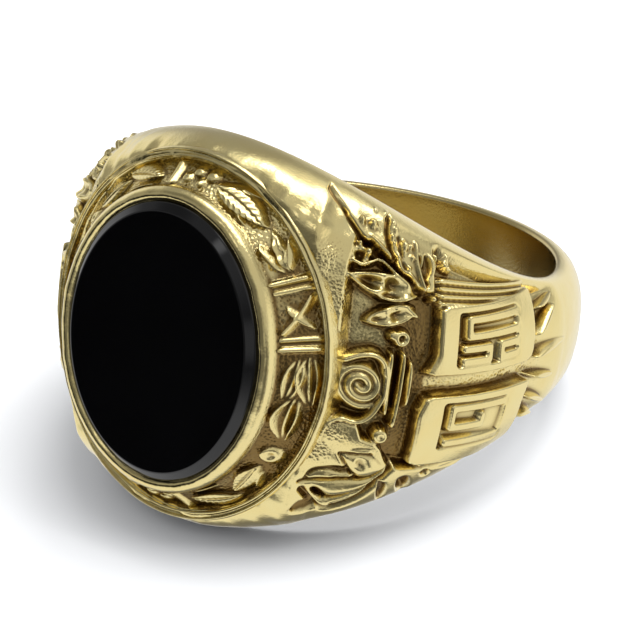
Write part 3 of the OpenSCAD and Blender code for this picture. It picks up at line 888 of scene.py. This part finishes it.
# Where the border ends under the head: how much outside the rim's inner oval, and how far inside the
# bezel's.
UNDER_RIM = 0.3
UNDER_STONE = -0.4
# The channel's patina and painted shade: passes of averaging, how much deeper its corners count, how dark its
# floor is painted at the upper end and how much darker, as painted shade, at the lower end and at the sides,
# and how stippled.
CHANNEL_WIDE = 24
CORNER_SHADE = 0.25
DARK_TOP = 0.06
DARK_BOTTOM = 0.54
DARK_SIDES = 0.2
STIPPLED_CHANNEL = 0.45

# Marks in the channel: form, outline, root and tip as angle round the stone and share of the way out,
# width, rise and bow.
CHANNEL_LEAVES = [
    (dome, even, (-80, 0.04), (-80, 0.96), 0.5, 0.36, 0),
    (vein, pointed, (-55.5, 0.8), (-74, 0.3), 0.95, 0.46, -0.06),
    (ridge, pointed, (-56, 0.1), (-70, 0.06), 0.3, 0.34, 0),
    (vein, pointed, (-38.5, 0.42), (-56, 0.58), 0.86, 0.44, 0.04),
    (ridge, pointed, (-40, 0.6), (-50, 0.9), 0.34, 0.36, 0.04),
    (hollow, pointed, (-8.5, 0.45), (-26.5, 0.5), 0.92, 0.44, 0.1),
    (hollow, pointed, (6, 0.42), (-11, 0.2), 0.7, 0.38, -0.04),
    (hollow, pointed, (6.5, 0.62), (-12, 0.78), 0.84, 0.4, 0.05),
    (dome, even, (9, 0), (9, 1), 0.34, 0.46, 0),
    (dome, even, (12.4, 0), (12.4, 1), 0.24, 0.4, 0),
    (dome, even, (14, 0.1), (27.5, 0.9), 0.3, 0.44, 0.03),
    (ridge, pointed, (15.5, 0.8), (25, 0.2), 0.4, 0.38, -0.06),
    (dome, even, (29.6, 0), (29.6, 1), 0.24, 0.4, 0),
    (dome, even, (33, 0), (33, 1), 0.34, 0.46, 0),
    (ridge, pointed, (36, 0.55), (49, 0.93), 0.44, 0.44, 0.02),
    (bowl, pointed, (36, 0.5), (53, 0.6), 0.5, 0.46, 0),
    (ridge, pointed, (36, 0.4), (50, 0.12), 0.42, 0.44, -0.02),
    (vein, pointed, (80, 0.5), (53, 0.56), 1.02, 0.52, 0.05),
    (ridge, pointed, (72, 0.4), (57, 0.06), 0.32, 0.36, 0),
    (ridge, pointed, (76, 0.7), (62, 0.97), 0.3, 0.36, 0),
]
CHANNEL_BEADS = [
    ((-32.5, 0.5), 0.4, 0.44, 0.75),
    ((84, 0.64), 0.3, 0.4, 0.2),
    ((86.5, 0.3), 0.22, 0.36, 0),
    ((90.5, 0.62), 0.26, 0.38, 0.3),
    ((94, 0.35), 0.24, 0.36, 0.4),
]
CHANNEL_START = -82
CHANNEL_REPEATS = 2


def channel_level(theta, share):
    """Height of the marks over the channel's floor, at an angle round the stone in degrees and a share of
    the way out. The same marks come twice round the stone."""
    mm_round = (STONE_HALF[0] + RIM_HALF[0]) / 2 * math.pi / 180
    mm_out = (RIM_HALF[0] - STONE_HALF[0]) - CHANNEL_SIDES
    level = np.zeros(np.broadcast(theta, share).shape)
    angle = np.mod(theta - CHANNEL_START, 360 / CHANNEL_REPEATS) + CHANNEL_START
    x, y = angle * mm_round, share * mm_out
    for form, outline, root, tip, width, rise, bow in CHANNEL_LEAVES:
        ends = [(root[0] * mm_round, root[1] * mm_out), (tip[0] * mm_round, tip[1] * mm_out)]
        level = np.maximum(level, mark(form, outline, *ends, width, rise, bow, x, y))
    for (a, out), *shape in CHANNEL_BEADS:
        level = np.maximum(level, bead((a * mm_round, out * mm_out), *shape, x, y))
    return level


def border():
    """The bezel, the sunk channel with its marks, and the rim: one outline swept round the stone's oval,
    whose rim part sags towards the sides, closed underneath."""
    theta = np.linspace(0, 2 * np.pi, BORDER_COLUMNS, endpoint=False)[:, None]
    bezel = resampled(np.array(BEZEL), OUTLINE_POINTS)
    rim = resampled(np.array(RIM), OUTLINE_POINTS)
    sag = RIM_H - RIM_SAG * np.cos(theta) ** 2

    def ringed(half, outline, height, narrow=1.0):
        """The outline swept round an oval, with its growth at the sides as a share of that at the ends."""
        grow = outline[None, :, :1] * [narrow, 1]
        return oval(half, grow, theta, height + outline[None, :, 1])

    seat_half = (STONE_HALF[0] + BEZEL_GAP, STONE_HALF[1] + BEZEL_GAP)
    inner = ringed(seat_half, bezel, BEZEL_H)
    outer = ringed(RIM_HALF, rim, sag, RIM_NARROW)
    foot, far = inner[:, -1], outer[:, 0]
    foot = foot + [0, BEZEL_H + BEZEL[-1][1] - BEZEL_FOOT_H, 0]
    share = np.linspace(0, 1, CHANNEL_POINTS)[None]
    dip = CHANNEL_DIP * np.sin(np.pi * share)
    channel = foot[:, None] + (far - foot)[:, None] * share[..., None]
    level = channel_level(np.degrees(theta), share)
    level = softened(level, 1, (True, False)) * smooth(0, 0.03, share) * smooth(1, 0.97, share)
    channel = channel + np.stack([0 * level, dip - level, 0 * level], axis=-1)
    low = FOOT_H * np.ones(len(theta))
    under = np.stack([
        oval(RIM_HALF, np.full((1, 2), UNDER_RIM), theta[:, 0], low),
        oval(seat_half, np.full((1, 2), UNDER_STONE), theta[:, 0], low),
    ], axis=1)
    points = np.concatenate([inner, channel, outer, under], axis=1)
    x, z = BORDER_RIPPLE * points[..., 0], BORDER_RIPPLE * points[..., 2]
    points[..., 1] -= BORDER_WAVES * ripple(x, z)
    walled = level - CORNER_SHADE * smooth(0.12, 0, share) - CORNER_SHADE * smooth(0.88, 1, share)
    patina_and_shade = patina_of(walled, CHANNEL_WIDE, (True, False))
    # Painted shade: the channel's floor is darker towards the lower end of the oval and at its sides.
    shaded = DARK_TOP + DARK_BOTTOM * smooth(0.75, -0.1, np.sin(theta))
    shaded = shaded + DARK_SIDES * smooth(0.7, 0.95, np.abs(np.cos(theta)))
    patina_and_shade = np.clip(patina_and_shade + shaded * smooth(0.12, 0.02, level), 0, 1)

    def across(values):
        """Numbers for each point of the border: the channel's own, and none on the rest."""
        blank = [np.zeros(part.shape[:2]) for part in (inner, outer, under)]
        return np.concatenate([blank[0], values, *blank[1:]], axis=1)

    marks = {"patina_and_shade": across(patina_and_shade), "stipple": across(STIPPLED_CHANNEL * smooth(0.06, 0, level))}
    return surface("border", points, (True, True), marks)


STONE_COLUMNS = 256
STONE_POINTS = 60
# The stone's outline from the middle of its base to the middle of its flat top: inset from the girdle, and
# height.
STONE = [(5.2, SEAT_H + 0.05), (0.1, SEAT_H + 0.05), (0, SEAT_H + 0.15), (0, GIRDLE_H),
         (0.05, GIRDLE_H + 0.12), (0.36, FACE_H - 0.05), (0.4, FACE_H - 0.015), (0.46, FACE_H),
         (0.6, FACE_H), (5.2, FACE_H)]


def stone():
    """The black stone: its outline swept round the oval, with a small fan to close the middle of top and
    base."""
    theta = np.linspace(0, 2 * np.pi, STONE_COLUMNS, endpoint=False)
    corners = np.array(STONE)
    outline = np.concatenate([corners[:1], resampled(corners[1:-1], STONE_POINTS), corners[-1:]])
    grow = np.broadcast_to(-outline[:, None, :1], (len(outline), STONE_COLUMNS, 2))
    points = oval(STONE_HALF, grow, theta[None], outline[:, 1:] + 0 * theta)
    return surface("stone", points, (False, True), {})


# Finishes

class Nodes:
    """Short ways to fill a node tree, which begins empty. A value that is a socket is joined, any other is
    set."""

    def __init__(self, tree):
        self.tree = tree
        tree.nodes.clear()

    def feed(self, socket, value):
        """Joins or sets one input."""
        if isinstance(value, bpy.types.NodeSocket):
            self.tree.links.new(value, socket)
        else:
            socket.default_value = value

    def add(self, kind, **values):
        """A new node with its settings and its inputs by name."""
        node = self.tree.nodes.new("ShaderNode" + kind)
        for key, value in values.items():
            if hasattr(node, key):
                setattr(node, key, value)
            else:
                self.feed(node.inputs[key.replace("_", " ")], value)
        return node

    def math(self, operation, *values):
        """The result of a sum of numbers or sockets."""
        node = self.add("Math", operation=operation)
        for socket, value in zip(node.inputs, values):
            self.feed(socket, value)
        return node.outputs["Value"]

    def ranged(self, value, low, high, **span):
        """A value spread from its span, 0 to 1 unless it is given, over another one."""
        return self.add("MapRange", Value=value, To_Min=low, To_Max=high, **span).outputs["Result"]

    def blend(self, share, first, second):
        """The mix of two colours by a share."""
        node = self.add("Mix", data_type="RGBA")
        for place, value in ((0, share), (6, first), (7, second)):
            self.feed(node.inputs[place], value)
        return node.outputs[2]


def new_material(name):
    """A material with an empty tree, and the ways to fill it."""
    material = bpy.data.materials.new(name)
    material.use_nodes = True
    return material, Nodes(material.node_tree)


def polished_gold():
    """Gold between a warmer and a paler yellow by soft clouds, darkened by patina with painted shade mixed in
    and by specks where it is stippled, duller where it is dark, with a fine grain and, where it is stippled,
    small pits."""
    material, nodes = new_material("polished_gold")
    place = nodes.add("TexCoord").outputs["Object"]
    # This mark holds the patina in hollows together with painted shade in the finger hole, the moat and the
    # channel's lower end and sides, and painted light on the upper leaves.
    patina_and_shade = nodes.add("Attribute", attribute_name="patina_and_shade").outputs["Fac"]
    stipple = nodes.add("Attribute", attribute_name="stipple").outputs["Fac"]
    cloud = nodes.add("TexNoise", Scale=900, Detail=3, Vector=place).outputs["Fac"]
    grain = nodes.add("TexNoise", Scale=9000, Detail=4, Vector=place).outputs["Fac"]
    pits = nodes.add("TexVoronoi", Scale=6500, Vector=place).outputs["Distance"]
    clean = nodes.blend(cloud, (0.85, 0.68, 0.29, 1), (0.87, 0.76, 0.38, 1))
    speck = nodes.ranged(pits, 0.7, 0, From_Min=0.1, From_Max=0.4)
    held = nodes.math("MULTIPLY_ADD", speck, stipple, patina_and_shade)
    depth = nodes.ranged(held, 0, 0.92, From_Min=0.02, From_Max=0.7)
    colour = nodes.blend(depth, clean, (0.17, 0.095, 0.025, 1))
    shine = nodes.ranged(cloud, 0.1, 0.22)
    dull = nodes.math("MULTIPLY_ADD", patina_and_shade, 0.1, shine)
    fine = nodes.add("Bump", Strength=0.25, Distance=0.00004, Height=grain).outputs["Normal"]
    pit_height = nodes.math("MULTIPLY", pits, stipple)
    rough = nodes.add("Bump", Strength=0.8, Distance=0.00008, Height=pit_height, Normal=fine)
    gold = nodes.add("BsdfPrincipled", Metallic=1.0, Base_Color=colour, Roughness=dull,
                     Normal=rough.outputs["Normal"])
    nodes.add("OutputMaterial", Surface=gold.outputs["BSDF"])
    return material


def black_onyx():
    """Black stone with a mirror polish, which soft clouds make a little uneven."""
    material, nodes = new_material("black_onyx")
    place = nodes.add("TexCoord").outputs["Object"]
    swell = nodes.add("TexNoise", Scale=260, Detail=2, Vector=place).outputs["Fac"]
    colour = nodes.blend(swell, (0.0008, 0.0008, 0.001, 1), (0.002, 0.002, 0.0025, 1))
    shine = nodes.ranged(swell, 0.04, 0.09)
    bump = nodes.add("Bump", Strength=0.1, Distance=0.00004, Height=swell).outputs["Normal"]
    onyx = nodes.add("BsdfPrincipled", IOR=1.54, Base_Color=colour, Roughness=shine, Normal=bump)
    nodes.add("OutputMaterial", Surface=onyx.outputs["BSDF"])
    return material


# The ring

def tie(piece, material):
    """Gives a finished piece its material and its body."""
    piece.data.materials.append(material)
    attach(piece, "root")
    return piece


gold_finish = polished_gold()
onyx_finish = black_onyx()
head_angles = np.linspace(-SHOULDER[0], SHOULDER[0], HEAD_COLUMNS)
back_angles = np.linspace(SHOULDER[1], 360 - SHOULDER[1], BACK_COLUMNS)
back_angles = np.where(back_angles > 180, back_angles - 360, back_angles)

shank = tie(tube_part("shank", back_angles), gold_finish)
tie(tube_part("head", head_angles), gold_finish)
tie(shoulder(1, "shoulder_right"), gold_finish)
tie(shoulder(-1, "shoulder_left"), gold_finish)
tie(border(), gold_finish)
stone_piece = tie(stone(), onyx_finish)
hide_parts("band_and_setting")
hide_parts("onyx_stone")


# The studio

# The camera's angles to the ring's own frame, its distance from the middle of the finger hole, and its focal
# length and that middle's place in the pixels of the frame.
CAMERA = {"azimuth": 34.838, "elevation": 16.256, "roll": 6.99, "distance": 200.24, "focal_px": 4304.4,
          "centre_px": (345.14, 292.26)}
FRAME_PX = 640
SENSOR = 36
FLOOR_R = 0.05


def camera():
    """The photograph's camera: it looks along the line from its place to the middle of the finger hole."""
    a, e, roll = (math.radians(CAMERA[key]) for key in ("azimuth", "elevation", "roll"))
    back = Vector((math.sin(a) * math.cos(e), -math.cos(a) * math.cos(e), math.sin(e)))
    level = Vector((math.cos(a), math.sin(a), 0))
    up = back.cross(level)
    right = math.cos(roll) * level + math.sin(roll) * up
    top = math.cos(roll) * up - math.sin(roll) * level
    turn = Matrix.Rotation(-LEAN, 4, "X")
    axes = Matrix((right, top, back)).transposed().to_4x4()
    data = bpy.data.cameras.new("camera")
    data.sensor_width = SENSOR
    data.lens = CAMERA["focal_px"] * SENSOR / FRAME_PX
    data.shift_x = (FRAME_PX / 2 - CAMERA["centre_px"][0]) / FRAME_PX
    data.shift_y = (CAMERA["centre_px"][1] - FRAME_PX / 2) / FRAME_PX
    data.clip_start = 0.01
    data.clip_end = 10
    eye = bpy.data.objects.new("camera", data)
    eye.matrix_world = turn @ Matrix.Translation(back * CAMERA["distance"] * MM) @ axes
    bpy.context.scene.collection.objects.link(eye)
    bpy.context.scene.camera = eye


def floor(height, corners=96):
    """A round white table top under the ring. The gold mirrors the room below instead of it."""
    theta = np.linspace(0, 2 * np.pi, corners, endpoint=False)
    rim = np.stack([FLOOR_R * np.cos(theta), FLOOR_R * np.sin(theta), np.full(corners, height)], axis=1)
    mesh = bpy.data.meshes.new("floor")
    mesh.from_pydata(rim.tolist(), [], [list(range(corners))])
    material, nodes = new_material("table_top")
    white = nodes.add("BsdfDiffuse", Color=(0.885, 0.895, 0.91, 1))
    nodes.add("OutputMaterial", Surface=white.outputs["BSDF"])
    mesh.materials.append(material)
    table = bpy.data.objects.new("floor", mesh)
    bpy.context.scene.collection.objects.link(table)
    table.visible_glossy = False


def softbox(name, direction, size, power, mirrored=True):
    """A square soft light that faces the ring from a direction, and that the ring mirrors or not."""
    data = bpy.data.lights.new(name, "AREA")
    data.shape = "RECTANGLE"
    data.size = data.size_y = size
    data.energy = power
    lamp = bpy.data.objects.new(name, data)
    way = Vector(direction).normalized()
    lamp.location = way * LAMP_DISTANCE
    lamp.rotation_mode = "QUATERNION"
    lamp.rotation_quaternion = way.to_track_quat("Z", "Y")
    lamp.visible_glossy = mirrored
    bpy.context.scene.collection.objects.link(lamp)


# The room that the gold mirrors, as soft-edged discs of light laid over one another: where each one's
# middle lies, by its angle to the right of the front and its height, how far its even part and the whole
# reach, in degrees, and its strength.
ROOM = 0.34
DISCS = [
    ((10, -6), 30, 62, 0.14),
    ((0, -90), 62, 90, 0.95),
    ((-145, -68), 12, 36, 0.2),
    ((112, -12), 20, 40, 0.95),
    ((62, -14), 10, 26, 0.14),
    ((44, 10), 2, 13, 0.5),
    ((-33, -2), 9, 24, 0.012),
    ((-63, 50), 6, 22, 0.18),
    ((180, -20), 20, 44, 0.95),
    ((170, 44), 12, 30, 0.9),
    ((-160, 62), 8, 24, 1.2),
    ((95, 45), 20, 50, 0.6),
    ((-108, 4), 12, 32, 0.9),
    ((15, 57), 3, 7, 1.6),
]
# The strength of the room's light on the table, and how far the lamps stand from the ring.
TABLE_LIGHT = 0.85
LAMP_DISTANCE = 0.5


def aim(azimuth, height):
    """Direction by its angle to the right of the front, and its height over the level."""
    a, h = math.radians(azimuth), math.radians(height)
    return Vector((math.sin(a) * math.cos(h), -math.cos(a) * math.cos(h), math.sin(h)))


def studio_sky():
    """The room: white where it is seen directly, even over the table, and the discs where the ring mirrors
    it. What the ring mirrors on to the table is left out."""
    world = bpy.data.worlds.new("studio")
    world.use_nodes = True
    nodes = Nodes(world.node_tree)
    place = nodes.add("TexCoord").outputs["Generated"]
    level = ROOM
    for middle, even_part, reach, strength in DISCS:
        toward = nodes.add("VectorMath", operation="DOT_PRODUCT")
        nodes.feed(toward.inputs[0], place)
        nodes.feed(toward.inputs[1], aim(*middle))
        edge, full = (math.cos(math.radians(angle)) for angle in (reach, even_part))
        share = nodes.ranged(toward.outputs["Value"], 0, 1, interpolation_type="SMOOTHSTEP",
                             From_Min=edge, From_Max=full)
        over = nodes.add("Mix")
        for socket, value in ((0, share), (2, level), (3, strength)):
            nodes.feed(over.inputs[socket], value)
        level = over.outputs[0]

    def light(strength):
        """White light of a strength."""
        return nodes.add("Background", Color=(1, 1, 1, 1), Strength=strength).outputs["Background"]

    def choose(share, first, second):
        """The first light, or the second where the share is 1."""
        node = nodes.add("MixShader")
        for socket, value in zip(node.inputs, (share, first, second)):
            nodes.feed(socket, value)
        return node.outputs["Shader"]

    path = nodes.add("LightPath").outputs
    direct = nodes.math("LESS_THAN", path["Diffuse Depth"], 0.5)
    room = light(nodes.math("MULTIPLY", level, direct))
    around = choose(path["Is Diffuse Ray"], room, light(TABLE_LIGHT))
    nodes.add("OutputWorld", Surface=choose(path["Is Camera Ray"], around, light(1)))
    bpy.context.scene.world = world


camera()
floor(cad_box[0][2])
studio_sky()
softbox("key", aim(150, 60), 0.28, 0.6)
softbox("top", aim(132, 65), 0.5, 2.3, mirrored=False)
softbox("back", aim(-165, 60), 0.1, 0.14)
bpy.context.scene.view_settings.view_transform = "Standard"
